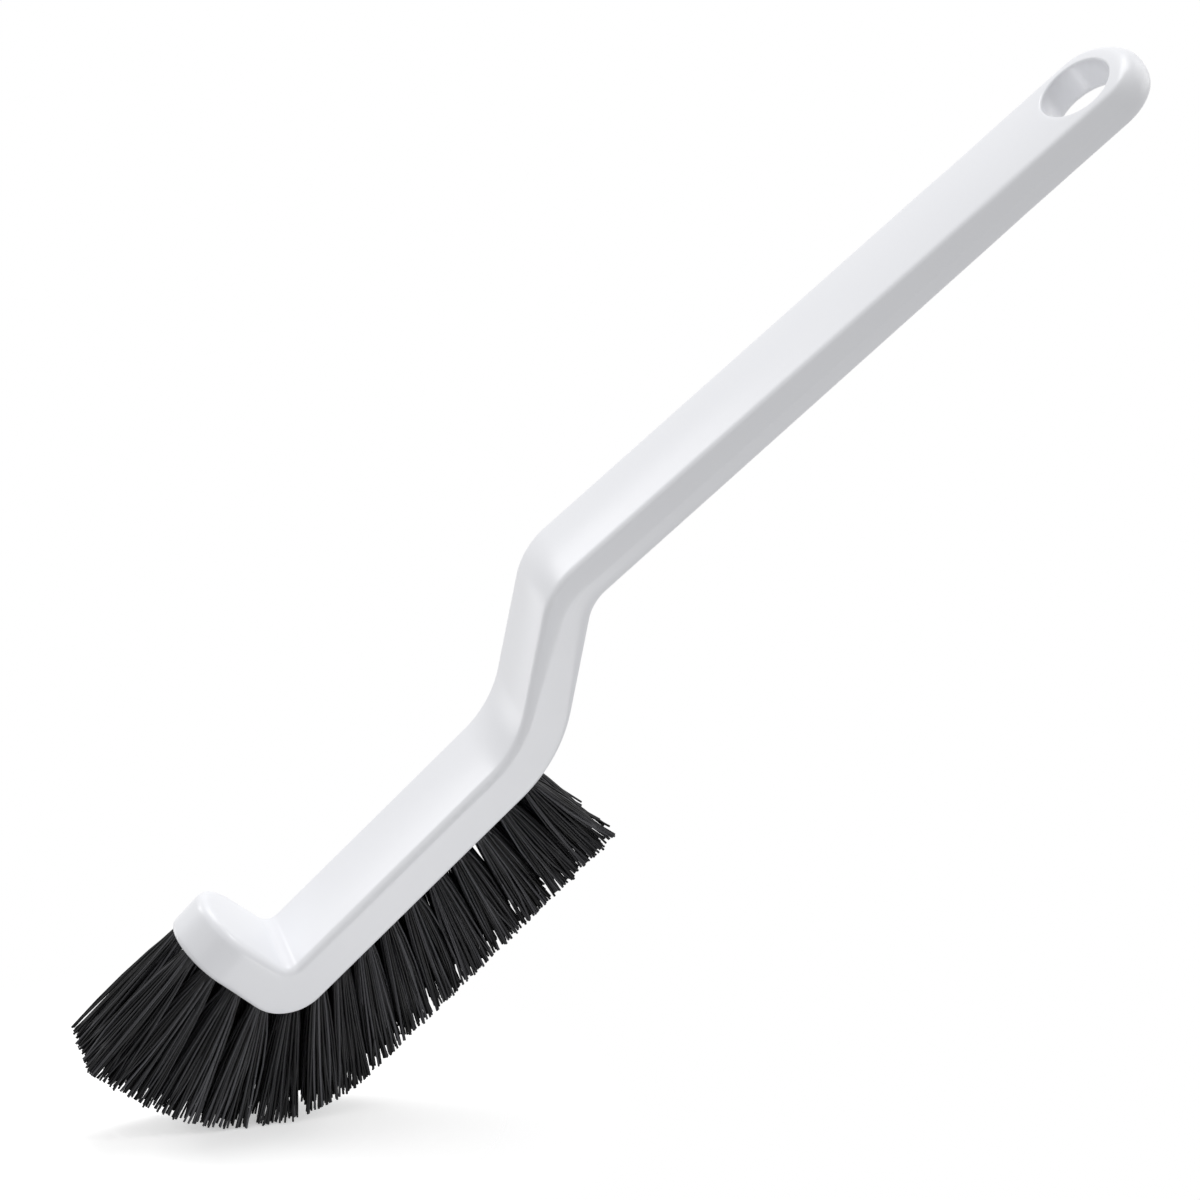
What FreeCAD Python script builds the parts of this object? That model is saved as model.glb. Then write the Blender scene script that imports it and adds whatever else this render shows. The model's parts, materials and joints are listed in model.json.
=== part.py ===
import FreeCAD, Part
import math
import os

import Sketcher
from FreeCAD import Placement, Rotation, Vector

# Crevice brush: one moulded plastic bar with a turned-up nose, a cranked neck and a flat handle,
# set with two rows of filament tufts that fan from nearly straight down at the tail to straight
# ahead at the nose. Each tuft is folded over a flat wire anchor at the bottom of its blind hole.
# Lengths are millimetres. +X runs from the nose to the hanging hole, +Z is up, and the origin is
# under the middle of the brush, on the plane that the lower bristle tips are trimmed to.

SIZES = {
    # Moulded bar, seen from the side
    "bar_width": 21.6,
    "head_thickness": 9.5,
    "head_length": 77.8,
    "nose_thickness": 10.4,
    "nose_rise": 21.0,
    "nose_overhang": 1.4,
    "neck_run": 29.4,
    "neck_rise": 22.2,
    "neck_thickness": 9.6,
    "handle_run": 159.2,
    "handle_drop": 10.2,
    "handle_thickness": 8.4,
    # Bends and edges of the bar
    "toe_radius": 10.0,
    "crease_radius": 2.8,
    "neck_foot_radius": 25.0,
    "neck_crown_radius": 17.0,
    "neck_hollow_radius": 10.0,
    "top_edge_radius": 1.8,
    "head_edge_radius": 0.7,
    "handle_edge_radius": 2.0,
    # Hanging hole
    "hole_diameter": 15.6,
    "hole_inset": 13.4,
    "hole_chamfer": 0.5,
    # Tufts
    "row_spacing": 8.4,
    "tail_inset": 5.6,
    "crown_inset": 4.0,
    "tuft_hole_diameter": 3.4,
    "tuft_hole_depth": 4.8,
    "tuft_gap": 0.3,
    "bristle_length": 25.2,
    "front_reach": 32.5,
    "trim_radius": 36.0,
    # Flat wire anchors
    "anchor_thickness": 0.4,
    "anchor_height": 1.5,
    "fold_thickness": 0.7,
    # Fits
    "tuft_clearance": 0.1,
    "anchor_clearance": 0.04,
    "cut_overrun": 3.0,
}
TUFTS_PER_ROW = 15
FAN_AT_TAIL_DEGREES = 4.0
FAN_AT_TOE_DEGREES = 45.0
FAN_AT_CROWN_DEGREES = 90.0
MATCH_SHARE = 1e-5
ROW_SIDES = {"near": -1, "far": 1}
UPRIGHT = Vector(0, 0, 1)
ACROSS = Vector(0, 1, 0)
DOWN_AND_AHEAD = Vector(-1, 0, -1)

doc = FreeCAD.newDocument("crevice_brush")
sheet = doc.addObject("Spreadsheet::Sheet", "Sizes")
for line, (name, value) in enumerate(SIZES.items(), start=1):
    sheet.set("A%d" % line, name)
    sheet.set("B%d" % line, str(value))
    sheet.setAlias("B%d" % line, name)
doc.recompute()


def size(name):
    return float(sheet.get(name))


def bind(feature, expressions):
    for prop, expression in expressions.items():
        feature.setExpression(prop, expression)


def origin_plane(body, role):
    return next(plane for plane in body.Origin.OriginFeatures if plane.Role == role)


def new_sketch(body, name, role):
    sketch = body.newObject("Sketcher::SketchObject", name)
    sketch.AttachmentSupport = (origin_plane(body, role), [""])
    sketch.MapMode = "FlatFace"
    return sketch


def relate(sketch, *constraint):
    return sketch.addConstraint(Sketcher.Constraint(*constraint))


def dimension(sketch, name, expression, *constraint):
    """A named dimension of a sketch, driven by the sheet."""
    index = relate(sketch, *constraint)
    sketch.renameConstraint(index, name)
    sketch.setExpression("Constraints." + name, expression)


def add_feature(body, kind, name, sketch, length):
    """Pad or pocket a sketch to both sides of its plane."""
    feature = body.newObject("PartDesign::" + kind, name)
    feature.Profile = sketch
    feature.SideType = "Symmetric"
    bind(feature, {"Length": length})
    doc.recompute()
    return feature


def unit(run, rise):
    length = math.hypot(run, rise)
    return run / length, rise / length


def beside(point, way, offset):
    """A point moved square to a direction, to its right."""
    return point[0] + way[1] * offset, point[1] - way[0] * offset


def crossing(point, way, other, other_way):
    """Where two lines cross, each given by a point and a direction."""
    spread = way[0] * other_way[1] - way[1] * other_way[0]
    gap = (other[0] - point[0], other[1] - point[1])
    along = (gap[0] * other_way[1] - gap[1] * other_way[0]) / spread
    return point[0] + along * way[0], point[1] + along * way[1]


# Corners of the bar's side view before they are rounded, measured from the toe's sharp corner
level = (1.0, 0.0)
head_top = size("head_thickness")
nose_top = head_top + size("nose_rise")
nose_way = unit(-size("nose_overhang"), nose_top)
neck_way = unit(size("neck_run"), size("neck_rise"))
handle_way = unit(size("handle_run"), -size("handle_drop"))
toe = (0.0, 0.0)
neck_foot_top = (size("head_length"), head_top)
neck_crown = (neck_foot_top[0] + size("neck_run"), head_top + size("neck_rise"))
end_top = (neck_crown[0] + size("handle_run"), neck_crown[1] - size("handle_drop"))
end_bottom = beside(end_top, handle_way, size("handle_thickness"))
neck_back = beside(neck_foot_top, neck_way, size("neck_thickness"))
neck_foot = crossing(toe, level, neck_back, neck_way)
neck_hollow = crossing(neck_back, neck_way, end_bottom, handle_way)
nose_front = (-size("nose_overhang"), nose_top)
nose_rear = beside(nose_front, nose_way, size("nose_thickness"))
crease = crossing(nose_rear, nose_way, neck_foot_top, level)
SIDE_VIEW = [toe, neck_foot, neck_hollow, end_bottom, end_top,
             neck_crown, neck_foot_top, crease, nose_rear, nose_front]
nose_length = math.hypot(size("nose_overhang"), nose_top)
NOSE_LENGTH = "sqrt(Sizes.nose_overhang ^ 2 + (Sizes.head_thickness + Sizes.nose_rise) ^ 2)"
END_REACH = "(Sizes.head_length + Sizes.neck_run + Sizes.handle_run)"
END_HEIGHT = "(Sizes.head_thickness + Sizes.neck_rise - Sizes.handle_drop)"

# The toe's sharp corner in the frame of the whole brush
toe_place = Vector((size("front_reach") - end_top[0]) / 2, 0, size("bristle_length"))


def side_sketch(body):
    """The bar's side view, straight-sided, held by the sheet's sizes."""
    sketch = new_sketch(body, "side_view", "XZ_Plane")
    corners = [Vector(x, z, 0) for x, z in SIDE_VIEW]
    for start, end in zip(corners, corners[1:] + corners[:1]):
        sketch.addGeometry(Part.LineSegment(start, end), False)
    for index in range(len(corners)):
        relate(sketch, "Coincident", index, 2, (index + 1) % len(corners), 1)
    (head_bottom, neck_bottom, grip_bottom, handle_end, handle_top,
     neck_top, head_upper, nose_inner, nose_upper, nose_outer) = range(len(corners))
    relate(sketch, "Coincident", head_bottom, 1, -1, 1)
    for flat in (head_bottom, head_upper):
        relate(sketch, "Horizontal", flat)
    for first, second in ((neck_bottom, neck_top), (grip_bottom, handle_top), (nose_inner, nose_outer)):
        relate(sketch, "Parallel", first, second)
    for first, second in ((handle_end, handle_top), (nose_upper, nose_outer)):
        relate(sketch, "Perpendicular", first, second)
    for name, kind, first, second in (
        ("head_thickness", "DistanceY", head_bottom, head_upper),
        ("head_length", "DistanceX", head_bottom, head_upper),
        ("nose_rise", "DistanceY", head_upper, nose_outer),
        ("nose_overhang", "DistanceX", nose_outer, head_bottom),
        ("neck_run", "DistanceX", head_upper, neck_top),
        ("neck_rise", "DistanceY", head_upper, neck_top),
        ("handle_run", "DistanceX", neck_top, handle_top),
        ("handle_drop", "DistanceY", handle_top, neck_top),
    ):
        dimension(sketch, name, "Sizes." + name, kind, first, 1, second, 1, size(name))
    for name, point, line in (
        ("nose_thickness", nose_inner, nose_outer),
        ("neck_thickness", neck_bottom, neck_top),
        ("handle_thickness", handle_end, handle_top),
    ):
        dimension(sketch, name, "Sizes." + name, "Distance", point, 1, line, size(name))
    return sketch


def round_bend(body, base, name, corner, radius):
    """Round the edge that runs across the bar at one corner of its side view."""
    close = size("bar_width") * MATCH_SHARE
    edges = []
    for index, edge in enumerate(base.Shape.Edges, start=1):
        ends = [vertex.Point for vertex in edge.Vertexes]
        if all(math.hypot(end.x - corner[0], end.z - corner[1]) < close for end in ends):
            edges.append("Edge%d" % index)
    fillet = body.newObject("PartDesign::Fillet", name)
    fillet.Base = (base, edges)
    bind(fillet, {"Radius": radius})
    doc.recompute()
    return fillet


def outside_of_arc(sketch, tip, tip_height):
    """Draw what is cut away round a half-circle end of the bar, whose tip points along sketch Y."""
    radius = size("bar_width") / 2
    spare = size("cut_overrun")
    centre = Vector(0, tip - radius, 0)
    right = centre + Vector(radius, 0, 0)
    left = centre - Vector(radius, 0, 0)
    corners = [right, right + Vector(spare, 0, 0), Vector(radius + spare, tip + spare, 0),
               Vector(-radius - spare, tip + spare, 0), left - Vector(spare, 0, 0), left]
    for start, end in zip(corners, corners[1:]):
        sketch.addGeometry(Part.LineSegment(start, end), False)
    right_shelf, right_side, over, left_side, left_shelf = range(len(corners) - 1)
    circle = Part.Circle(centre, UPRIGHT, radius)
    arc = sketch.addGeometry(Part.ArcOfCircle(circle, 0, math.pi), False)
    for before in (right_shelf, right_side, over, left_side):
        relate(sketch, "Coincident", before, 2, before + 1, 1)
    relate(sketch, "Coincident", arc, 1, right_shelf, 1)
    relate(sketch, "Coincident", arc, 2, left_shelf, 2)
    for flat in (right_shelf, over, left_shelf):
        relate(sketch, "Horizontal", flat)
    for upright in (right_side, left_side):
        relate(sketch, "Vertical", upright)
    relate(sketch, "PointOnObject", arc, 3, -2)
    for shelf in (right_shelf, left_shelf):
        relate(sketch, "PointOnObject", arc, 3, shelf)
    dimension(sketch, "end_radius", "Sizes.bar_width / 2", "Radius", arc, radius)
    dimension(sketch, "spare_right", "Sizes.cut_overrun", "Distance", right_shelf, spare)
    dimension(sketch, "spare_left", "Sizes.cut_overrun", "Distance", left_shelf, spare)
    dimension(sketch, "spare_over", "Sizes.bar_width / 2 + Sizes.cut_overrun",
              "Distance", right_side, radius + spare)
    dimension(sketch, "centre_height", "%s - Sizes.bar_width / 2" % tip_height,
              "DistanceY", -1, 1, arc, 3, tip - radius)


def nose_round(body):
    """Cut the top of the nose to a half circle, seen square to its front face."""
    sketch = new_sketch(body, "nose_outline", "YZ_Plane")
    lean = math.degrees(math.atan2(size("nose_overhang"), nose_top))
    sketch.AttachmentOffset = Placement(Vector(), Rotation(Vector(1, 0, 0), -lean))
    outside_of_arc(sketch, nose_length, NOSE_LENGTH)
    return add_feature(body, "Pocket", "nose_round", sketch, "4 * Sizes.nose_thickness")


def handle_sketch(body, name):
    """A sketch on the handle's top face, measured from its end, with sketch Y along the handle."""
    sketch = new_sketch(body, name, "XY_Plane")
    slope = math.degrees(math.atan2(size("handle_drop"), size("handle_run")))
    turn = Rotation(ACROSS, slope) * Rotation(UPRIGHT, -90)
    sketch.AttachmentOffset = Placement(Vector(end_top[0], 0, end_top[1]), turn)
    bind(sketch, {"AttachmentOffset.Base.x": END_REACH, "AttachmentOffset.Base.z": END_HEIGHT})
    return sketch


def end_round(body):
    """Cut the handle's end to a half circle, seen from above."""
    sketch = handle_sketch(body, "end_outline")
    outside_of_arc(sketch, 0.0, "0")
    return add_feature(body, "Pocket", "end_round", sketch, "4 * Sizes.handle_thickness")


def hanging_hole(body):
    """The round hole through the handle's end, square to the handle."""
    sketch = handle_sketch(body, "hole_outline")
    inset = size("hole_inset")
    diameter = size("hole_diameter")
    circle = sketch.addGeometry(Part.Circle(Vector(0, -inset, 0), UPRIGHT, diameter / 2), False)
    relate(sketch, "PointOnObject", circle, 3, -2)
    dimension(sketch, "hole_inset", "Sizes.hole_inset", "DistanceY", circle, 3, -1, 1, inset)
    dimension(sketch, "hole_diameter", "Sizes.hole_diameter", "Diameter", circle, diameter)
    return add_feature(body, "Pocket", "hanging_hole", sketch, "4 * Sizes.handle_thickness")


def bar_body():
    """The bar: its side view padded to its width, with its bends, nose, end and hole."""
    body = doc.addObject("PartDesign::Body", "bar")
    bind(body, {"Placement.Base.x": "(Sizes.front_reach - %s) / 2" % END_REACH,
                "Placement.Base.z": "Sizes.bristle_length"})
    base = add_feature(body, "Pad", "bar_pad", side_sketch(body), "Sizes.bar_width")
    for name, corner, radius in (
        ("toe_round", toe, "Sizes.toe_radius"),
        ("crease_fillet", crease, "Sizes.crease_radius"),
        ("neck_foot_fillet", neck_foot_top, "Sizes.neck_foot_radius"),
        ("neck_foot_round", neck_foot, "Sizes.neck_foot_radius + Sizes.neck_thickness"),
        ("neck_crown_round", neck_crown, "Sizes.neck_crown_radius"),
        ("neck_hollow_fillet", neck_hollow, "Sizes.neck_hollow_radius"),
    ):
        base = round_bend(body, base, name, corner, radius)
    for cut in (nose_round, end_round, hanging_hole):
        whole = base.Shape.Volume
        base = cut(body)
        if base.Shape.Volume >= whole:
            raise ValueError("%s cut nothing" % base.Name)
    rims = ["Edge%d" % index for index, edge in enumerate(base.Shape.Edges, start=1)
            if len(edge.Vertexes) == 1]
    chamfer = body.newObject("PartDesign::Chamfer", "hole_chamfer")
    chamfer.Base = (base, rims)
    bind(chamfer, {"Size": "Sizes.hole_chamfer"})
    doc.recompute()
    return body


def runs_along(face, way):
    """Whether a face of the bar's long surface looks to the side that a direction gives."""
    u_first, u_last, v_first, v_last = face.ParameterRange
    normal = face.normalAt((u_first + u_last) / 2, (v_first + v_last) / 2)
    bent_endwise = hasattr(face.Surface, "Radius") and abs(face.Surface.Axis.y) < MATCH_SHARE
    return not bent_endwise and abs(normal.y) < MATCH_SHARE and normal.dot(way) > 0


def rim_edges(shape, way):
    """The edges between the bar's flanks and its long surface on one side."""
    faces = [face for face in shape.Faces if runs_along(face, way)]
    rims = []
    for index, edge in enumerate(shape.Edges, start=1):
        if len(edge.Vertexes) < 2 or not any(edge.isSame(rim) for face in faces for rim in face.Edges):
            continue
        start, end = (vertex.Point for vertex in edge.Vertexes)
        if abs(start.y + end.y) > size("bar_width") * MATCH_SHARE or start.x != end.x:
            rims.append((index, edge))
    return rims


def round_edges(body):
    """Soften the rims: crisp round the tufted face, growing up the neck to a full handle edge."""
    shape = body.Shape
    radii = []
    for index, edge in rim_edges(shape, -DOWN_AND_AHEAD):
        radii.append((index, size("top_edge_radius"), size("top_edge_radius")))
    mid_neck = toe_place.x + (neck_foot[0] + neck_hollow[0]) / 2
    for index, edge in rim_edges(shape, DOWN_AND_AHEAD):
        crisp_to_full = ["head_edge_radius" if vertex.Point.x < mid_neck else "handle_edge_radius"
                         for vertex in edge.Vertexes]
        radii.append((index, size(crisp_to_full[0]), size(crisp_to_full[1])))
    fillet = doc.addObject("Part::Fillet", "rounded_bar")
    fillet.Base = body
    fillet.Edges = radii
    doc.recompute()
    return fillet


class TuftSeat:
    """Where one tuft leaves the bar, which way it points, and how far it reaches to the trim."""

    def __init__(self, foot, normal, fan_degrees):
        angle = math.radians(fan_degrees)
        self.foot = foot
        self.way = (-math.sin(angle), -math.cos(angle))
        slant = math.acos(min(1.0, self.way[0] * normal[0] + self.way[1] * normal[1]))
        self.lift = size("tuft_hole_diameter") / 2 * math.tan(slant) + size("tuft_clearance")
        self.reach = self.distance_to_trim()

    def distance_to_trim(self):
        """Along the tuft to the trim outline: a level floor, a round corner and an upright front."""
        radius = size("trim_radius")
        centre = (radius - size("front_reach"), radius - size("bristle_length"))
        gap = (self.foot[0] - centre[0], self.foot[1] - centre[1])
        half = gap[0] * self.way[0] + gap[1] * self.way[1]
        inside = radius ** 2 - gap[0] ** 2 - gap[1] ** 2
        to_corner = -half + math.sqrt(max(0.0, half ** 2 + inside))
        end = (gap[0] + to_corner * self.way[0], gap[1] + to_corner * self.way[1])
        if half ** 2 + inside > 0 and end[0] <= 0 and end[1] <= 0:
            return to_corner
        if -self.way[1] > -self.way[0]:
            return (self.foot[1] + size("bristle_length")) / -self.way[1]
        return (self.foot[0] + size("front_reach")) / -self.way[0]

    def tip(self):
        return self.foot[0] + self.reach * self.way[0], self.foot[1] + self.reach * self.way[1]

    def distance_from(self, point):
        """How far a point lies to the side of the tuft's middle line."""
        gap = (point[0] - self.foot[0], point[1] - self.foot[1])
        return abs(gap[0] * self.way[1] - gap[1] * self.way[0])

    def placement(self, side):
        """Local Z along the tuft from the bottom of its hole, local Y across the brush."""
        depth = size("tuft_hole_depth")
        bottom = Vector(self.foot[0] - depth * self.way[0], side * size("row_spacing") / 2,
                        self.foot[1] - depth * self.way[1])
        turn = math.degrees(math.atan2(self.way[0], self.way[1]))
        return Placement(bottom + toe_place, Rotation(ACROSS, turn))


def tuft_seats():
    """Space one row of tufts evenly along the head's underside, round the toe and up the nose.

    They fan evenly from the tail, where they point down, to where the toe begins, and from there
    to the crown, where they point ahead.
    """
    radius = size("toe_radius")
    turn = math.acos(-nose_way[0])
    tangent = radius * math.tan(turn / 2)
    tail = size("head_length") - size("tail_inset")
    under = tail - tangent
    bend = radius * turn
    front = nose_length - size("crown_inset") - tangent
    centre = (tangent, radius)
    seats = []
    for number in range(TUFTS_PER_ROW):
        run = (under + bend + front) * number / (TUFTS_PER_ROW - 1)
        fan = FAN_AT_TAIL_DEGREES + (FAN_AT_TOE_DEGREES - FAN_AT_TAIL_DEGREES) * run / under
        if run > under:
            past_toe = (run - under) / (bend + front)
            fan = FAN_AT_TOE_DEGREES + (FAN_AT_CROWN_DEGREES - FAN_AT_TOE_DEGREES) * past_toe
        if run <= under:
            foot = (tail - run, 0.0)
            normal = (0.0, -1.0)
        elif run <= under + bend:
            angle = (run - under) / radius
            normal = (-math.sin(angle), -math.cos(angle))
            foot = (centre[0] + radius * normal[0], centre[1] + radius * normal[1])
        else:
            up = tangent + run - under - bend
            normal = (-nose_way[1], nose_way[0])
            foot = (up * nose_way[0], up * nose_way[1])
        seats.append(TuftSeat(foot, normal, fan))
    return seats


def place(feature, placement):
    feature.Placement = placement
    return feature


def tuft_bores(seats):
    """Blind holes for the tufts, each along its tuft."""
    cutters = []
    for row, side in ROW_SIDES.items():
        for number, seat in enumerate(seats, start=1):
            drill = doc.addObject("Part::Cylinder", "bore_%s_%02d" % (row, number))
            bind(drill, {"Radius": "Sizes.tuft_hole_diameter / 2",
                         "Height": "Sizes.tuft_hole_depth + Sizes.cut_overrun"})
            cutters.append(place(drill, seat.placement(side)))
    bores = doc.addObject("Part::MultiFuse", "tuft_bores")
    bores.Shapes = cutters
    doc.recompute()
    return bores


def anchor_box(name, seat, side):
    """A flat wire anchor across a tuft hole, with the folded filaments between it and the bottom."""
    box = doc.addObject("Part::Box", name)
    bind(box, {"Length": "Sizes.anchor_thickness",
               "Width": "Sizes.tuft_hole_diameter - 2 * Sizes.tuft_clearance",
               "Height": "Sizes.anchor_height"})
    corner = Vector(-size("anchor_thickness") / 2, size("tuft_clearance") - size("tuft_hole_diameter") / 2,
                    size("fold_thickness"))
    return place(box, seat.placement(side) * Placement(corner, Rotation()))


def handle_block(bar, seats):
    """The moulded bar with its tuft holes."""
    block = doc.addObject("Part::Cut", "handle_block")
    block.Base = round_edges(bar)
    block.Tool = tuft_bores(seats)
    doc.recompute()
    return block


def bundle_section(half_length, half_width, height):
    """Corners of a bundle's section: a rectangle with its corners cut off at half a right angle."""
    side = math.tan(math.pi / 8)
    cut = min(half_length, half_width) * (1 - side)
    corners = []
    for along, across in ((1, -1), (1, 1), (-1, 1), (-1, -1)):
        upright_end = Vector(along * half_length, across * (half_width - cut), height)
        level_end = Vector(along * (half_length - cut), across * half_width, height)
        corners += [upright_end, level_end] if along == across else [level_end, upright_end]
    return corners


def stacked_solid(sections):
    """A closed solid with flat sides between sections that have parallel edges."""
    outlines = [section + section[:1] for section in sections]
    faces = [Part.Face(Part.makePolygon(outlines[0])), Part.Face(Part.makePolygon(outlines[-1]))]
    for lower, upper in zip(outlines, outlines[1:]):
        for left in range(len(lower) - 1):
            corners = [lower[left], lower[left + 1], upper[left + 1], upper[left], lower[left]]
            faces.append(Part.Face(Part.makePolygon(corners)))
    return Part.Solid(Part.Shell(faces))


def trim_block():
    """The space that the clipped tufts fill, seen from the side and wider than the brush."""
    radius = size("trim_radius")
    spare = size("cut_overrun")
    floor = -size("bristle_length")
    front = -size("front_reach")
    back = size("head_length") + size("neck_run")
    top = nose_top + spare
    half = size("bar_width")
    bend = radius * math.sqrt(0.5)
    points = [Vector(back, -half, floor), Vector(front + radius, -half, floor),
              Vector(front, -half, floor + radius), Vector(front, -half, top), Vector(back, -half, top)]
    corner = Part.Arc(points[1], Vector(front + radius - bend, -half, floor + radius - bend), points[2])
    edges = [Part.LineSegment(points[0], points[1]), corner, Part.LineSegment(points[2], points[3]),
             Part.LineSegment(points[3], points[4]), Part.LineSegment(points[4], points[0])]
    outline = Part.Wire([edge.toShape() for edge in edges])
    block = Part.Face(outline).extrude(Vector(0, 2 * half, 0))
    block.translate(toe_place)
    return block


def tuft_shape(seat, neighbours, trim):
    """One folded bundle: snug in its hole, then spread to the trim, open round its anchor."""
    root = size("tuft_hole_diameter") / 2 - size("tuft_clearance")
    floor = size("tuft_clearance")
    mouth = size("tuft_hole_depth") + seat.lift
    trim_height = size("tuft_hole_depth") + seat.reach
    gap = size("tuft_gap")
    nearest = min(seat.distance_from(other.tip()) for other in neighbours)
    half_length = (nearest - gap) / 2
    half_width = (size("row_spacing") - gap) / 2
    over = (trim_height + half_length - mouth) / (trim_height - mouth)
    flat = root * math.cos(math.pi / 8)
    bundle = stacked_solid([
        bundle_section(flat, flat, floor),
        bundle_section(flat, flat, mouth),
        bundle_section(flat + over * (half_length - flat), flat + over * (half_width - flat),
                       mouth + over * (trim_height - mouth)),
    ])
    here = seat.placement(1)
    local_trim = trim.transformed(here.inverse().toMatrix())
    bundle = bundle.common(local_trim)
    spare = 2 * size("anchor_clearance")
    window = Part.makeBox(size("anchor_thickness") + spare, size("tuft_hole_diameter"),
                          size("anchor_height") + spare)
    window.translate(Vector(-(size("anchor_thickness") + spare) / 2, -size("tuft_hole_diameter") / 2,
                            size("fold_thickness") - spare / 2))
    return bundle.cut(window)


def tufts(seats):
    """Both rows of tufts, alike across the brush."""
    trim = trim_block()
    made = []
    for number, seat in enumerate(seats, start=1):
        neighbours = seats[max(0, number - 2):number - 1] + seats[number:number + 1]
        shape = tuft_shape(seat, neighbours, trim)
        for row, side in ROW_SIDES.items():
            bundle = doc.addObject("Part::Feature", "tuft_%s_%02d" % (row, number))
            bundle.Shape = shape.Solids[0]
            made.append(place(bundle, seat.placement(side)))
    return made


def tuft_anchors(seats):
    """The flat wire anchors, one in each tuft, kept together as one set."""
    anchors = doc.addObject("Part::Compound", "tuft_anchors")
    anchors.Links = [anchor_box("anchor_%s_%02d" % (row, number), seat, side)
                     for row, side in ROW_SIDES.items()
                     for number, seat in enumerate(seats, start=1)]
    return anchors


def check(pieces):
    """Stop if any object failed, or any piece is empty or faulty."""
    failed = [item.Name for item in doc.Objects if "Invalid" in item.State or "Error" in item.State]
    failed += [piece.Label for piece in pieces if piece.Shape.isNull() or not piece.Shape.isValid()]
    failed += [piece.Label for piece in pieces if not piece.Shape.Solids]
    if failed:
        raise ValueError("failed: " + ", ".join(failed))


seats = tuft_seats()
pieces = [handle_block(bar_body(), seats)] + tufts(seats) + [tuft_anchors(seats)]
doc.recompute()
for piece in pieces:
    piece.Label = piece.Name
check(pieces)
os.makedirs("parts", exist_ok=True)
for piece in pieces:
    piece.Shape.exportStep("parts/%s.step" % piece.Label)
print("%d pieces, %d solids" % (len(pieces), sum(len(piece.Shape.Solids) for piece in pieces)))
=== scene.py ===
import json
import math

import bmesh
import bpy
import numpy as np
from mathutils import Matrix, Vector

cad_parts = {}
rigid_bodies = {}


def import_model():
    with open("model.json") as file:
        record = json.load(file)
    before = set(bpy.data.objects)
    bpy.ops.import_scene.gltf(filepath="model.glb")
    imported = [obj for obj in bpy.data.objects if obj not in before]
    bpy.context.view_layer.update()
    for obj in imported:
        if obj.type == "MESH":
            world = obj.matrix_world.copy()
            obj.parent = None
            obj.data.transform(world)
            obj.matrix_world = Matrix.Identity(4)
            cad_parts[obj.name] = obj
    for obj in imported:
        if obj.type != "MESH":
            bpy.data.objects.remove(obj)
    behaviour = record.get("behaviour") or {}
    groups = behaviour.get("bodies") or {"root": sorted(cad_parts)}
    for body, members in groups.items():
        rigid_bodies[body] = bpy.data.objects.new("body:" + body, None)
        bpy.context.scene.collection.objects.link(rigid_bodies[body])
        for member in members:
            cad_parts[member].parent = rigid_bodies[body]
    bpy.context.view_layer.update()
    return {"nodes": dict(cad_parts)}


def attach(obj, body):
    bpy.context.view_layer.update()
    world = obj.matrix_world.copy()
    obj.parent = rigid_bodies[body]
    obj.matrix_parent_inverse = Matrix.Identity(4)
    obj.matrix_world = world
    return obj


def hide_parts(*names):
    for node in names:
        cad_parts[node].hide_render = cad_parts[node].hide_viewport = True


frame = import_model()
print("frame loaded, nodes:", len(frame["nodes"]))

bpy.context.scene.view_settings.view_transform = "Standard"

# small helpers: lines of the side view, meshes and objects

# points nearer than the seam are merged, edges shorter than the sliver are dissolved
joins = {"seam": 2e-6, "sliver": 1e-7}
leastPart = 1e-6                                # keeps a division away from nothing


# unit vector of a run and a rise
def wayOf(run, rise):
    way = np.array([run, rise], float)
    return way / np.linalg.norm(way)


# a direction in the side view turned a quarter to its left
def leftOf(way):
    return np.stack([-way[..., 1], way[..., 0]], axis=-1)


# point where two lines cross: p plus the share of a that closes the gap across b
def crossingOf(p, a, q, b):
    gap = q - p
    share = (gap[0] * b[1] - gap[1] * b[0]) / (a[0] * b[1] - a[1] * b[0])
    return p + share * a


# a line through corners with each corner swapped for an arc: runs are divided evenly,
# arc points are the centre plus the spoke turned by an even share of the bend
def roundedLine(corners, radii, runSteps, bendSteps):
    corners = np.asarray(corners, float)
    ways = np.diff(corners, axis=0)
    ways = ways / np.linalg.norm(ways, axis=1)[:, None]
    parts, start = [], corners[0]
    for k, radius in enumerate(radii):
        cross = ways[k][0] * ways[k + 1][1] - ways[k][1] * ways[k + 1][0]
        turn = math.atan2(cross, ways[k] @ ways[k + 1])
        enter = corners[k + 1] - ways[k] * radius * math.tan(abs(turn) / 2)
        centre = enter + math.copysign(radius, turn) * leftOf(ways[k])
        spoke = enter - centre
        turned = np.linspace(0, turn, bendSteps[k], endpoint=False)[:, None]
        parts.append(start + (enter - start) * np.linspace(0, 1, runSteps[k], endpoint=False)[:, None])
        parts.append(centre + np.cos(turned) * spoke + np.sin(turned) * leftOf(spoke))
        start = centre + math.cos(turn) * spoke + math.sin(turn) * leftOf(spoke)
    parts.append(start + (corners[-1] - start) * np.linspace(0, 1, runSteps[-1])[:, None])
    return np.concatenate(parts)


# quads of a grid numbered row by row, with the last column joined to the first if closed
def gridQuads(rows, columns, closed=False):
    index = np.arange(rows * columns).reshape(rows, columns)
    if closed:
        index = np.concatenate([index, index[:, :1]], axis=1)
    corners = [index[:-1, :-1], index[:-1, 1:], index[1:, 1:], index[1:, :-1]]
    return np.stack(corners, axis=-1).reshape(-1, 4)


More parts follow.
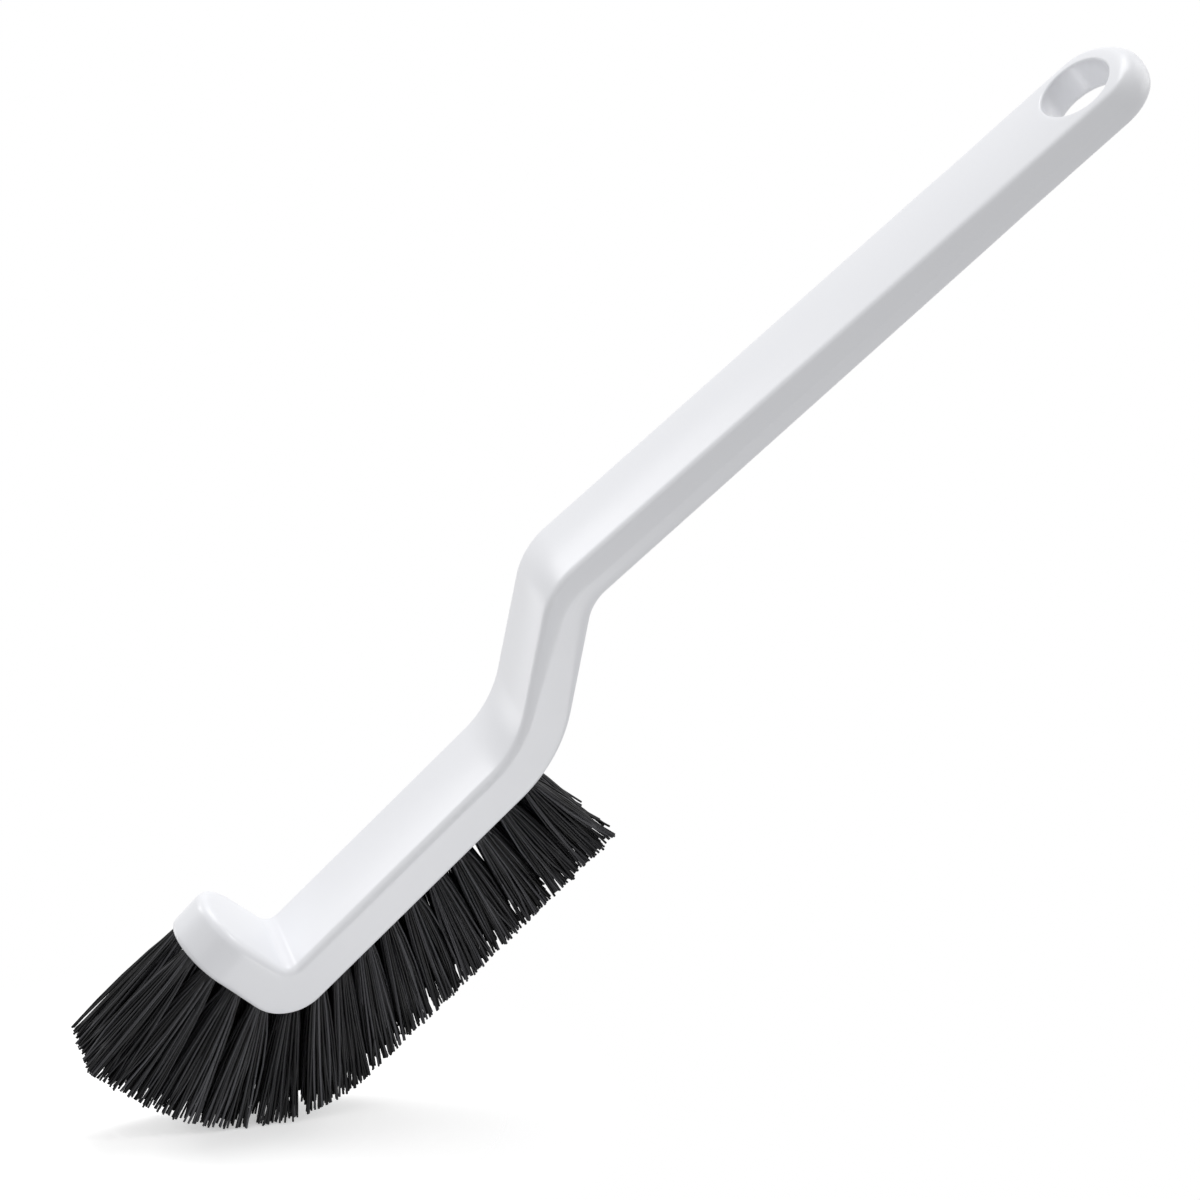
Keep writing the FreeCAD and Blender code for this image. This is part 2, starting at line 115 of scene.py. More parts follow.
# one mesh from several grids of points: their shared borders are merged and the faces turned outwards
def meshFromGrids(name, grids):
    points, faces, first = [], [], 0
    for grid, closed in grids:
        rows, columns = grid.shape[:2]
        points.append(grid.reshape(-1, 3))
        faces.append(gridQuads(rows, columns, closed) + first)
        first += rows * columns
    mesh = bpy.data.meshes.new(name)
    mesh.from_pydata(np.concatenate(points).tolist(), [], np.concatenate(faces).tolist())
    made = bmesh.new()
    made.from_mesh(mesh)
    bmesh.ops.remove_doubles(made, verts=made.verts, dist=joins["seam"])
    bmesh.ops.dissolve_degenerate(made, edges=made.edges, dist=joins["sliver"])
    bmesh.ops.recalc_face_normals(made, faces=made.faces)
    made.to_mesh(mesh)
    made.free()
    return mesh


# an object at the origin: the mesh under a name, with the material as its first one
def addObject(name, mesh, material=None):
    made = bpy.data.objects.new(name, mesh)
    bpy.context.scene.collection.objects.link(made)
    if material:
        mesh.materials.append(material)
    return made


# finishes

# a material with its node tree and its main shader
def newMaterial(name):
    material = bpy.data.materials.new(name)
    material.use_nodes = True
    tree = material.node_tree
    return material, tree, tree.nodes["Principled BSDF"]


# one shader node: each value goes to the node's setting of that name, or else to its input of that name
def node(tree, kind, place, **values):
    made = tree.nodes.new(kind)
    made.location = place
    for key, value in values.items():
        if hasattr(made, key):
            setattr(made, key, value)
        else:
            made.inputs[key].default_value = value
    return made


noiseLook = {"detail": 2.0, "roughness": 0.5, "from": 0.3, "to": 0.7}


# shared patchiness: noise of the given scale, its usual range stretched between a low and a high value
def softVariation():
    group = bpy.data.node_groups.new("softVariation", "ShaderNodeTree")
    for name, kind, value in (("Vector", "NodeSocketVector", None), ("Scale", "NodeSocketFloat", 100.0),
                              ("Low", "NodeSocketFloat", 0.0), ("High", "NodeSocketFloat", 1.0)):
        socket = group.interface.new_socket(name=name, in_out="INPUT", socket_type=kind)
        if value is not None:
            socket.default_value = value
    group.interface.new_socket(name="Value", in_out="OUTPUT", socket_type="NodeSocketFloat")
    start = node(group, "NodeGroupInput", (-500, 0))
    end = node(group, "NodeGroupOutput", (300, 0))
    noise = node(group, "ShaderNodeTexNoise", (-300, 0), Detail=noiseLook["detail"],
                 Roughness=noiseLook["roughness"])
    spread = node(group, "ShaderNodeMapRange", (0, 0))
    spread.inputs["From Min"].default_value = noiseLook["from"]
    spread.inputs["From Max"].default_value = noiseLook["to"]
    link = group.links.new
    link(start.outputs["Vector"], noise.inputs["Vector"])
    link(start.outputs["Scale"], noise.inputs["Scale"])
    link(noise.outputs["Fac"], spread.inputs["Value"])
    link(start.outputs["Low"], spread.inputs["To Min"])
    link(start.outputs["High"], spread.inputs["To Max"])
    link(spread.outputs["Result"], end.inputs["Value"])
    return group


variation = softVariation()


# the shared patchiness in a material: its noise taken at the object's own coordinates
def placeVariation(tree, place, scale, low, high):
    made = node(tree, "ShaderNodeGroup", place)
    made.node_tree = variation
    coords = node(tree, "ShaderNodeTexCoord", (place[0] - 200, place[1]))
    tree.links.new(coords.outputs["Object"], made.inputs["Vector"])
    for name, value in (("Scale", scale), ("Low", low), ("High", high)):
        made.inputs[name].default_value = value
    return made.outputs["Value"]


# a blend of two colours by a share: a colour mix has its colours at inputs 6 and 7 and its result at output 2
def blendColours(tree, share, first, second):
    mix = node(tree, "ShaderNodeMix", (-250, 250), data_type="RGBA")
    mix.inputs[6].default_value = first
    mix.inputs[7].default_value = second
    tree.links.new(share, mix.inputs[0])
    return mix.outputs[2]


plasticLook = {
    "white": (0.830, 0.838, 0.868, 1), "shade": (0.825, 0.833, 0.864, 1), "cloud": 45.0,
    "roughLow": 0.275, "roughHigh": 0.295, "patch": 120.0,
    "grain": 2600.0, "grainStrength": 0.03, "grainDepth": 0.00002,
}


# moulded white plastic: a faint cloudiness in the colour, patchy satin gloss and a fine mould grain
def plasticMaterial():
    material, tree, shader = newMaterial("mouldedPlastic")
    link = tree.links.new
    cloud = placeVariation(tree, (-500, 250), plasticLook["cloud"], 0.0, 1.0)
    link(blendColours(tree, cloud, plasticLook["white"], plasticLook["shade"]), shader.inputs["Base Color"])
    gloss = placeVariation(tree, (-500, 0), plasticLook["patch"], plasticLook["roughLow"],
                           plasticLook["roughHigh"])
    link(gloss, shader.inputs["Roughness"])
    bump = node(tree, "ShaderNodeBump", (-250, -250), Strength=plasticLook["grainStrength"],
                Distance=plasticLook["grainDepth"])
    link(placeVariation(tree, (-500, -250), plasticLook["grain"], 0.0, 1.0), bump.inputs["Height"])
    link(bump.outputs["Normal"], shader.inputs["Normal"])
    return material


bristleLook = {
    "dark": (0.005, 0.005, 0.0055, 1), "light": (0.088, 0.088, 0.096, 1),
    "roughLow": 0.30, "roughHigh": 0.44, "patch": 700.0, "gloss": 0.18,
}


# charcoal filaments: dark blended to light by each filament's own tone, an attribute of its mesh
def bristleMaterial():
    material, tree, shader = newMaterial("charcoalFilament")
    link = tree.links.new
    shader.inputs["Specular IOR Level"].default_value = bristleLook["gloss"]
    tone = node(tree, "ShaderNodeAttribute", (-500, 250), attribute_name="tone")
    colour = blendColours(tree, tone.outputs["Fac"], bristleLook["dark"], bristleLook["light"])
    link(colour, shader.inputs["Base Color"])
    rough = placeVariation(tree, (-500, 0), bristleLook["patch"], bristleLook["roughLow"],
                           bristleLook["roughHigh"])
    link(rough, shader.inputs["Roughness"])
    return material


wireLook = {"colour": (0.56, 0.55, 0.52, 1), "patch": 1800.0, "roughLow": 0.28, "roughHigh": 0.45}


# flat drawn wire: bare metal with a fine patchy sheen
def wireMaterial():
    material, tree, shader = newMaterial("drawnWire")
    shader.inputs["Base Color"].default_value = wireLook["colour"]
    shader.inputs["Metallic"].default_value = 1.0
    rough = placeVariation(tree, (-500, 0), wireLook["patch"], wireLook["roughLow"], wireLook["roughHigh"])
    tree.links.new(rough, shader.inputs["Roughness"])
    return material


plastic = plasticMaterial()
bristle = bristleMaterial()
wire = wireMaterial()
print("finishes made")

# moulded bar: lengths in metres

bar = {
    "width": 0.0216, "headThickness": 0.0095, "headLength": 0.0778,
    "noseThickness": 0.0104, "noseRise": 0.0210, "noseOverhang": 0.0014,
    "neckRun": 0.0294, "neckRise": 0.0222, "neckThickness": 0.0096,
    "handleRun": 0.1592, "handleDrop": 0.0102, "handleThickness": 0.0084,
    "toeRadius": 0.0100, "creaseRadius": 0.0028,
    "footRadius": 0.0250, "crownRadius": 0.0170, "hollowRadius": 0.0100,
    # radius of the top edge, of the lower edge
    "noseRim": (0.0023, 0.0015), "headRim": (0.0018, 0.0007),
    # the handle's flank from the top face to the underside: how far out from the plain side,
    # share of the depth
    "handleRim": ((-0.00330, 0.0), (-0.00240, 0.010), (-0.00150, 0.026), (-0.00085, 0.068),
                  (-0.00042, 0.172), (0.00006, 0.340), (0.00036, 0.480), (0.00042, 0.530),
                  (0.00044, 0.600), (0.00038, 0.740), (0.00010, 0.880), (-0.00035, 0.965),
                  (-0.00100, 1.0), (-0.00190, 1.0)),
    # the flank at the handle's tip, beyond the hole, in the same way
    "tipRim": ((-0.00420, -0.011), (-0.00290, 0.019), (-0.00173, 0.085), (-0.00075, 0.181),
               (-0.00004, 0.300), (0.00033, 0.417), (0.00044, 0.530), (0.00044, 0.600),
               (0.00038, 0.740), (0.00010, 0.880), (-0.00035, 0.965), (-0.00100, 1.0),
               (-0.00190, 1.0)),
    # inset of the flank's top and of its foot: along the handle, beside the hole, at the tip
    "handleReach": (0.0033, 0.0019), "holeReach": (0.0021, 0.0011), "tipReach": (0.0042, 0.0011),
    # extra depth of the handle where it meets the neck, and of the neck
    "handleSwell": 0.0009, "neckSwell": 0.0004,
    # mould line: share of the depth, height, width, room free of other samples, places of its own samples
    "partShare": 0.530, "partLine": 0.000015, "partWidth": 7e-5, "partRoom": 4e-4,
    "partPlaces": (-25e-5, -14e-5, -8e-5, -4e-5, 0, 4e-5, 8e-5, 14e-5, 25e-5),
    "topCrown": 0.00040,                                # swell of the top face
    "holeDiameter": 0.0156, "holeInset": 0.0134, "holeEdge": 0.0005, "holeLowEdge": 0.0016,
    # samples down the hole's wall, as shares, and the width of the mould line there
    "wallShares": (0.2, 0.4, 0.46, 0.48, 0.5, 0.52, 0.54, 0.6, 0.8), "wallPartWidth": 0.015,
    "spokeRoom": 0.0042,                                # from the hole's edge to where its spokes begin
    # how the rims ease into each other: stations from the nose, and places before the foot,
    # past the crown and before the handle's end
    "noseEase": 14, "handleEase": (0.004, 0.012), "holeEase": (0.050, 0.027),
    "bristleLength": 0.0252, "frontReach": 0.0325,      # from the underside, from the toe
    # sample counts: runs and bends of the side view, tail by the hole, half circles, across, rims, hole
    "runSteps": (8, 40, 10, 70), "bendSteps": (18, 24, 24), "tailSteps": 33, "endSteps": 61,
    "acrossSteps": 16, "edgeSteps": 12, "flankSteps": 9, "curveSteps": 40, "holeEdgeSteps": 7,
    "spokeSteps": 6,
    "flankShares": (0.1, 0.9),                          # part of the depth that a plain flank's samples cover
    "sharpAngle": 38.0,                                 # edges that turn by more stay sharp, in degrees
}

# side view, from the toe's sharp corner, as (along, up)
halfWidth = bar["width"] / 2
noseTop = bar["headThickness"] + bar["noseRise"]
level = np.array([1.0, 0.0])
noseWay = wayOf(-bar["noseOverhang"], noseTop)
neckWay = wayOf(bar["neckRun"], bar["neckRise"])
handleWay = wayOf(bar["handleRun"], -bar["handleDrop"])
toe = np.array([0.0, 0.0])
footTop = np.array([bar["headLength"], bar["headThickness"]])
crown = footTop + (bar["neckRun"], bar["neckRise"])
endTop = crown + (bar["handleRun"], -bar["handleDrop"])
endLow = endTop - leftOf(handleWay) * bar["handleThickness"]
neckBack = footTop - leftOf(neckWay) * (bar["neckThickness"] + bar["neckSwell"])
footLow = crossingOf(toe, level, neckBack, neckWay)
crownLow = crown - leftOf(handleWay) * (bar["handleThickness"] + bar["handleSwell"])
hollow = crossingOf(neckBack, neckWay, endLow, endLow - crownLow)
noseFront = np.array([-bar["noseOverhang"], noseTop])
noseRear = noseFront - leftOf(noseWay) * bar["noseThickness"]
crease = crossingOf(noseRear, noseWay, footTop, level)
toePlace = np.array([(bar["frontReach"] - endTop[0]) / 2, bar["bristleLength"]])


# (along, up) in the side view and a distance across, as points of the frame
def inFrame(sidePoints, across):
    sidePoints = np.asarray(sidePoints)
    across = np.broadcast_to(across, sidePoints.shape[:-1])
    return np.stack([sidePoints[..., 0] + toePlace[0], across, sidePoints[..., 1] + toePlace[1]], axis=-1)


# smooth step from 0 to 1 between two places: three squares less two cubes of the share
def easeBetween(value, start, end):
    share = np.clip((value - start) / (end - start), 0, 1)
    return share * share * (3 - 2 * share)


# even steps of a half turn without its two ends
def halfTurn():
    return np.linspace(0, math.pi, bar["endSteps"] + 2)[1:-1]


# one closed ring round the bar: its far side, the half circle of the handle's end, its near side
# and the half circle of the nose, each pulled in by the inset; the end has places and insets of its own
def ringOf(line, inset, endLine, endInset):
    turn = halfTurn()
    reach, endReach = halfWidth - inset, halfWidth - endInset
    far = inFrame(line, reach)
    endArc = inFrame(endLine + handleWay * (endReach * np.sin(turn))[:, None], endReach * np.cos(turn))
    near = inFrame(line[::-1], -reach[::-1])
    noseArc = inFrame(line[0] + noseWay * (reach[0] * np.sin(turn))[:, None], -reach[0] * np.cos(turn))
    return np.concatenate([far, endArc, near, noseArc])


# top and lower lines of the side view with matching stations, from the nose's half circle to the end's:
# rounded corners, then even steps along the handle
def barLines(holeStart):
    tail = np.linspace(0, 1, bar["tailSteps"])[1:, None] * (holeStart - halfWidth)
    lines = []
    for corners, radii in (
        ([noseRear - noseWay * halfWidth, crease, footTop, crown, endTop - handleWay * holeStart],
         [bar["creaseRadius"], bar["footRadius"], bar["crownRadius"]]),
        ([noseFront - noseWay * halfWidth, toe, footLow, hollow, endLow - handleWay * holeStart],
         [bar["toeRadius"], bar["footRadius"] + bar["neckThickness"], bar["hollowRadius"]]),
    ):
        line = roundedLine(corners, radii, bar["runSteps"], bar["bendSteps"])
        lines.append(np.concatenate([line, line[-1] + handleWay * tail]))
    return lines[0], lines[1], len(lines[0]) - len(tail) - 1


# rim of two round edges, each a radius times sine and cosine of its turn, with a plain flank between:
# distance in from the side, and depth as a fixed length plus a share of the thickness
def plainRim(topRadius, lowRadius):
    lean = 2 * bar["topCrown"] / (halfWidth - topRadius)    # slope of the swelling top face at its edge
    turn = np.linspace(lean, math.pi / 2, bar["edgeSteps"])
    rise = np.linspace(math.pi / 2, 0, bar["edgeSteps"])
    flank = np.linspace(*bar["flankShares"], bar["flankSteps"])
    inset = np.concatenate([topRadius * (1 - np.sin(turn)), 0 * flank, lowRadius * (1 - np.sin(rise))])
    deep = topRadius * (math.cos(lean) - np.cos(turn))
    between = deep[-1] * (1 - flank) - lowRadius * flank
    fixed = np.concatenate([deep, between, -lowRadius * (1 - np.cos(rise))])
    return inset, fixed, np.concatenate([0 * turn, flank, 0 * turn + 1])


# rim of the handle: a smooth curve through the given points (each stretch a cubic between two of them,
# with the slope at a point taken from its neighbours), from one inset at the top to another at the foot,
# its samples gathered at the mould line, which is raised by a bell curve
def handleRim(points, topInset, footInset):
    knots = np.array(points)
    slopes = np.gradient(knots, axis=0)
    step = np.linspace(0, 1, bar["curveSteps"], endpoint=False)[None, :, None]
    a, b, c, d = knots[:-1, None], slopes[:-1, None], knots[1:, None], slopes[1:, None]
    curve = (a * (1 + 2 * step) * (1 - step) ** 2 + b * step * (1 - step) ** 2
             + c * step ** 2 * (3 - 2 * step) + d * step ** 2 * (step - 1)).reshape(-1, 2)
    curve = np.concatenate([curve, knots[-1:]])
    strides = np.hypot(np.diff(curve[:, 0]), np.diff(curve[:, 1]) * bar["handleThickness"])
    run = np.concatenate([[0], np.cumsum(strides)])
    part = np.interp(bar["partShare"], curve[:, 1], run)
    upper = curve[:, 1] < bar["partShare"]
    start = np.interp(-topInset, curve[upper, 0], run[upper])
    end = np.interp(footInset, -curve[~upper, 0], run[~upper])
    above = np.linspace(start, part - bar["partRoom"], bar["edgeSteps"])
    below = np.linspace(part + bar["partRoom"], end, bar["edgeSteps"])
    places = np.concatenate([above, part + np.array(bar["partPlaces"]), below])
    ridge = bar["partLine"] * np.exp(-((places - part) / bar["partWidth"]) ** 2)
    out = np.interp(places, run, curve[:, 0]) + ridge
    return -out, 0 * places, np.interp(places, run, curve[:, 1])


# the bar is a plate bent along its side view: rings follow a rim profile from the top face,
# over its rounded edge, down the flank and round the lower edge to the underside,
# and both faces are closed by strips across and, at the end, by spokes to the hanging hole
def barMesh():
    holeRadius, holeEdge, lowEdge = bar["holeDiameter"] / 2, bar["holeEdge"], bar["holeLowEdge"]
    holeStart = bar["holeInset"] + holeRadius + bar["spokeRoom"]    # from the tip to where the spokes begin
    top, low, split = barLines(holeStart)
    stations = len(top)
    down = low - top
    thickness = np.linalg.norm(down, axis=1)
    down = down / thickness[:, None]

    # the nose's rim eases into the head's, that along the neck into the handle's, and that into the hole's
    noseShare = easeBetween(-np.arange(stations), -bar["noseEase"], 0)
    handleShare = easeBetween(top[:, 0], footTop[0] - bar["handleEase"][0], crown[0] + bar["handleEase"][1])
    holeShare = easeBetween(top[:, 0], endTop[0] - bar["holeEase"][0], endTop[0] - bar["holeEase"][1])
    weights = np.stack([noseShare, 1 - noseShare - handleShare, handleShare - holeShare, holeShare])
    rims = [plainRim(*bar["noseRim"]), plainRim(*bar["headRim"]),
            handleRim(bar["handleRim"], *bar["handleReach"]), handleRim(bar["handleRim"], *bar["holeReach"])]
    insets, fixed, shares = (
        np.einsum("pk,ps->ks", np.stack([rim[part] for rim in rims]), weights) for part in range(3))
    depths = fixed + shares * thickness
    tipInsets, _, tipShares = handleRim(bar["tipRim"], *bar["tipReach"])
    tipWeight = np.sin(halfTurn()) ** 2                     # 0 at the sides of the end, 1 at its tip
    rings = []
    for inset, depth, tipInset, tipShare in zip(insets, depths, tipInsets, tipShares):
        endInset = inset[-1] + (tipInset - inset[-1]) * tipWeight
        endDepth = depth[-1] + (tipShare * thickness[-1] - depth[-1]) * tipWeight
        endLine = top[-1] + down[-1] * endDepth[:, None]
        rings.append(ringOf(top + down * depth[:, None], inset, endLine, endInset))
    rings = np.stack(rings)

    # strips across both faces, from the nose's tip to where the spokes begin, the top one swelling upwards
    ends, across = bar["endSteps"], np.linspace(0, 1, bar["acrossSteps"] + 1)[:, None]
    half = ends // 2
    noseFirst = 2 * stations + ends
    farIndex = np.concatenate([noseFirst + half + np.arange(half + 1), np.arange(split + 1)])
    nearIndex = np.concatenate([noseFirst + half - np.arange(half + 1), noseFirst - 1 - np.arange(split + 1)])
    strips = [ring[farIndex][:, None] + (ring[nearIndex] - ring[farIndex])[:, None] * across
              for ring in (rings[0], rings[-1])]
    station = np.concatenate([np.zeros(half + 1, int), np.arange(split + 1)])
    outward = np.abs(strips[0][..., 1])
    noseMiddle = inFrame(top[0], 0.0)
    outward[:half + 1] = np.linalg.norm(strips[0][:half + 1] - noseMiddle, axis=-1)
    crownRise = bar["topCrown"] + depths[0]
    rise = crownRise[station, None] * (1 - (outward / (halfWidth - insets[0][station])[:, None]) ** 2)
    downward = np.stack([down[station, 0], 0 * station, down[station, 1]], axis=-1)
    strips[0] = strips[0] - downward[:, None] * rise[..., None]

    # the hanging hole: spokes on each face, rounded edges and the wall between
    holeTop = endTop - handleWay * bar["holeInset"]
    around = np.arange(split, 2 * stations + ends - split)
    outers = [np.concatenate([ring[around], strip[-1][-2:0:-1]])
              for ring, strip in zip((rings[0], rings[-1]), strips)]
    angle = np.arctan2(outers[0][:, 1], (outers[0][:, [0, 2]] - toePlace - holeTop) @ handleWay)
    holeDeep = bar["handleThickness"]
    quarter = np.linspace(0, math.pi / 2, bar["holeEdgeSteps"])
    wall = np.array(bar["wallShares"])
    radii = np.concatenate([
        holeRadius + holeEdge * (1 - np.sin(quarter)),
        holeRadius - bar["partLine"] * np.exp(-((wall - 0.5) / bar["wallPartWidth"]) ** 2),
        holeRadius + lowEdge * (1 - np.sin(quarter[::-1]))])
    deep = np.concatenate([
        holeEdge * (1 - np.cos(quarter)),
        holeEdge + (holeDeep - holeEdge - lowEdge) * wall,
        holeDeep - lowEdge * (1 - np.cos(quarter[::-1]))])
    along = radii[:, None] * np.cos(angle)
    aside = radii[:, None] * np.sin(angle)
    beyond = np.clip(along[0] - bar["holeInset"] + halfWidth, 0, None)
    fromMiddle = np.hypot(beyond, aside[0]) / (halfWidth - insets[0][-1])
    swell = crownRise[-1] * (1 - fromMiddle ** 2) - depths[0][-1]
    deep = deep[:, None] - np.linspace(1, 0, len(radii))[:, None] ** 2 * swell
    side = holeTop + handleWay * along[..., None] - leftOf(handleWay) * deep[..., None]
    bore = inFrame(side, aside)
    share = np.linspace(0, 1, bar["spokeSteps"])[:, None, None]
    faces = [outer + (rim - outer) * share for outer, rim in zip(outers, (bore[0], bore[-1]))]
    grids = [(rings, True), (strips[0], False), (strips[1], False),
             (bore, True), (faces[0], True), (faces[1], True)]
    return meshFromGrids("handleBlock", grids)


# tufts: lengths in metres

tuft = {
    "perRow": 15, "rowSpacing": 0.0084, "tailInset": 0.0056, "crownInset": 0.0040,
    "holeDiameter": 0.0034, "holeDepth": 0.0048, "wellSides": 20, "wellRise": 0.003,
    "trimRadius": 0.0360,
    "fanTail": 4.0, "fanToe": 45.0, "fanCrown": 90.0,   # lean at the tail, toe and nose, in degrees
    "filaments": 105, "filamentRadius": 0.00026, "girth": (0.88, 1.08), "sides": 6,
    "bundle": 0.00155,                                  # how far from the middle a filament leaves the hole
    "rootShare": 0.55,                                  # share of the hole's depth that filaments go in
    "spinRange": 6.28,                                  # range of the first filament's turn, in radians
    "squareness": 0.38,                                 # how far a round bundle is pulled to a square
    "gather": (1.20, 1.50),                             # over 1 lays outer filaments into the tuft's walls
    "acrossFill": 0.95,                                 # spread across the row, 1 to meet the other row
    "fill": {"near": 0.84, "far": 0.95},                # spread along the row, 1 to meet the neighbours
    "tailFlare": {"near": 1.15, "far": 0.55},           # spread of the tail tuft's free side
    "frontFlare": 0.30, "frontDroop": 0.0022,           # spread of the front tuft's free side, its drop
    "frontMore": 0.0012,                                # extra length of the front tuft, half on the next
    "jitter": 0.00036,                                  # how far tips wander from an even spread
    "stray": 0.04,                                      # share of the filaments that stray
    "strayAlong": 0.0013, "strayAcross": 0.0009,
    "stay": 0.0008,                                     # how far a stray may leave its tuft
    "uneven": 0.00012, "shorter": -0.0001,              # raggedness of the tips and their middle
    "unevenLimits": (-0.0012, 0.0003),
    "bow": 0.0005,                                      # sag of a filament, at its middle
    "bowShares": (0.0, 0.25, 0.5, 0.75, 1.0),           # places of a filament's rings outside the hole
    "ease": {"near": 0.90, "far": 0.72},                # how early a row's tufts spread, 1 for straight cones
    "toneBend": 2.2,                                    # over 1 makes most filaments dark and a few light
    "seedStep": 1000,
}


# seats step evenly along the underside, round the toe and up the nose's front, as the block's holes do:
# foot on the surface, and the way a tuft points, from its fan angle
def tuftSeats():
    radius = bar["toeRadius"]
    turn = math.acos(-noseWay[0])
    tangent = radius * math.tan(turn / 2)
    tail = bar["headLength"] - tuft["tailInset"]
    under, bend = tail - tangent, radius * turn
    front = math.hypot(bar["noseOverhang"], noseTop) - tuft["crownInset"] - tangent
    run = np.linspace(0, under + bend + front, tuft["perRow"])
    past = np.clip((run - under) / (bend + front), 0, None)
    fan = np.where(run <= under, tuft["fanTail"] + (tuft["fanToe"] - tuft["fanTail"]) * run / under,
                   tuft["fanToe"] + (tuft["fanCrown"] - tuft["fanToe"]) * past)
    bent = np.clip((run - under) / radius, 0, turn)
    facing = np.stack([-np.sin(bent), -np.cos(bent)], axis=-1)
    foot = np.array([tangent, radius]) + radius * facing
    foot[:, 0] += np.clip(under - run, 0, None)
    foot += np.clip(run - under - bend, 0, None)[:, None] * noseWay
    fan = np.radians(fan)
    return foot, np.stack([-np.sin(fan), -np.cos(fan)], axis=-1)


# distance along lines to the trim outline: a level floor, a round corner, an upright front
def reachToTrim(start, way):
    radius = tuft["trimRadius"]
    centre = np.array([radius - bar["frontReach"], radius - bar["bristleLength"]])
    gap = start - centre
    half = (gap * way).sum(-1)
    inside = half ** 2 + radius ** 2 - (gap ** 2).sum(-1)
    toCorner = -half + np.sqrt(np.clip(inside, 0, None))
    hit = gap + toCorner[..., None] * way
    toFloor = (start[..., 1] + bar["bristleLength"]) / np.clip(-way[..., 1], leastPart, None)
    toFront = (start[..., 0] + bar["frontReach"]) / np.clip(-way[..., 0], leastPart, None)
    atCorner = (inside > 0) & (hit[..., 0] <= 0) & (hit[..., 1] <= 0)
    return np.where(atCorner, toCorner, np.minimum(toFloor, toFront))


# a tuft's half length at its tip: half the distance from its middle line to its nearest neighbour's tip
def tipSpread(foot, way):
    tips = foot + way * reachToTrim(foot, way)[:, None]
    gap = tips[None] - foot[:, None]
    aside = np.abs(gap[..., 0] * way[:, None, 1] - gap[..., 1] * way[:, None, 0])
    near = np.abs(np.subtract.outer(np.arange(len(foot)), np.arange(len(foot)))) == 1
    return np.where(near, aside, np.inf).min(axis=1) / 2


# paths of a tuft's filaments: they leave the hole packed like sunflower seeds, pulled to a square,
# spread evenly to the trim, bow a little and end unevenly; flares are the spread behind and ahead
def tuftPaths(foot, way, spread, rowName, side, flares, droop, more, rng):
    count = tuft["filaments"]
    rank = np.sqrt((np.arange(count) + 0.5) / count)
    goldenTurn = math.pi * (3 - math.sqrt(5))
    spin = np.arange(count) * goldenTurn + rng.uniform(0, tuft["spinRange"])
    disc = np.stack([rank * np.cos(spin), rank * np.sin(spin)], axis=-1)
    diagonal = np.abs(disc[:, :1] * disc[:, 1:]) / np.clip(rank[:, None] ** 2, leastPart, None)
    square = disc * (1 + tuft["squareness"] * diagonal * 2 * rank[:, None])
    ahead = leftOf(way)
    square = np.clip(square * tuft["gather"], -1, 1)
    tipAlong = spread * square[:, 0] * np.where(square[:, 0] < 0, flares[0], flares[1]) + droop
    tipAlong += rng.normal(0, tuft["jitter"], count)
    tipAcross = tuft["rowSpacing"] / 2 * square[:, 1] * tuft["acrossFill"]
    tipAcross += rng.normal(0, tuft["jitter"], count)
    strays = rng.random(count) < tuft["stray"]
    tipAlong += strays * rng.normal(0, tuft["strayAlong"], count)
    tipAcross += strays * rng.normal(0, tuft["strayAcross"], count)
    least = droop - spread * flares[0] - tuft["stay"]
    most = droop + spread * flares[1] + tuft["stay"]
    tipAlong = np.clip(tipAlong, least, most)

    # from the mouth of the hole to the trim, along lines that lean to the spread tips
    mouth = foot + ahead * (tuft["bundle"] * disc[:, :1])
    target = foot + way * reachToTrim(foot, way) + ahead * tipAlong[:, None]
    lean = target - mouth
    lean = lean / np.linalg.norm(lean, axis=1)[:, None]
    uneven = np.clip(rng.normal(tuft["shorter"], tuft["uneven"], count), *tuft["unevenLimits"])
    reach = reachToTrim(mouth, lean) + more + uneven
    tip = mouth + lean * reach[:, None]
    start = mouth - way * tuft["holeDepth"] * tuft["rootShare"]

    # bowed, and opened early: the share of the way raised to a power under 1
    share = np.array(tuft["bowShares"])[None, :, None]
    bow = (share * (1 - share) * 4) * rng.normal(0, tuft["bow"], (count, 1, 2))
    middle = mouth[:, None] + (tip - mouth)[:, None] * share + bow[..., :1] * ahead
    opened = share ** tuft["ease"][rowName] - share
    middle = middle + opened * ((tip - mouth) @ ahead)[:, None, None] * ahead
    middle = np.concatenate([start[:, None], middle], axis=1)
    acrossFoot = tuft["bundle"] * disc[:, 1:]
    across = acrossFoot + (tipAcross[:, None] - acrossFoot) * (share + opened)[0, :, 0] + bow[..., 1]
    across = side * tuft["rowSpacing"] / 2 + np.concatenate([acrossFoot, across], axis=1)
    return inFrame(middle, across)


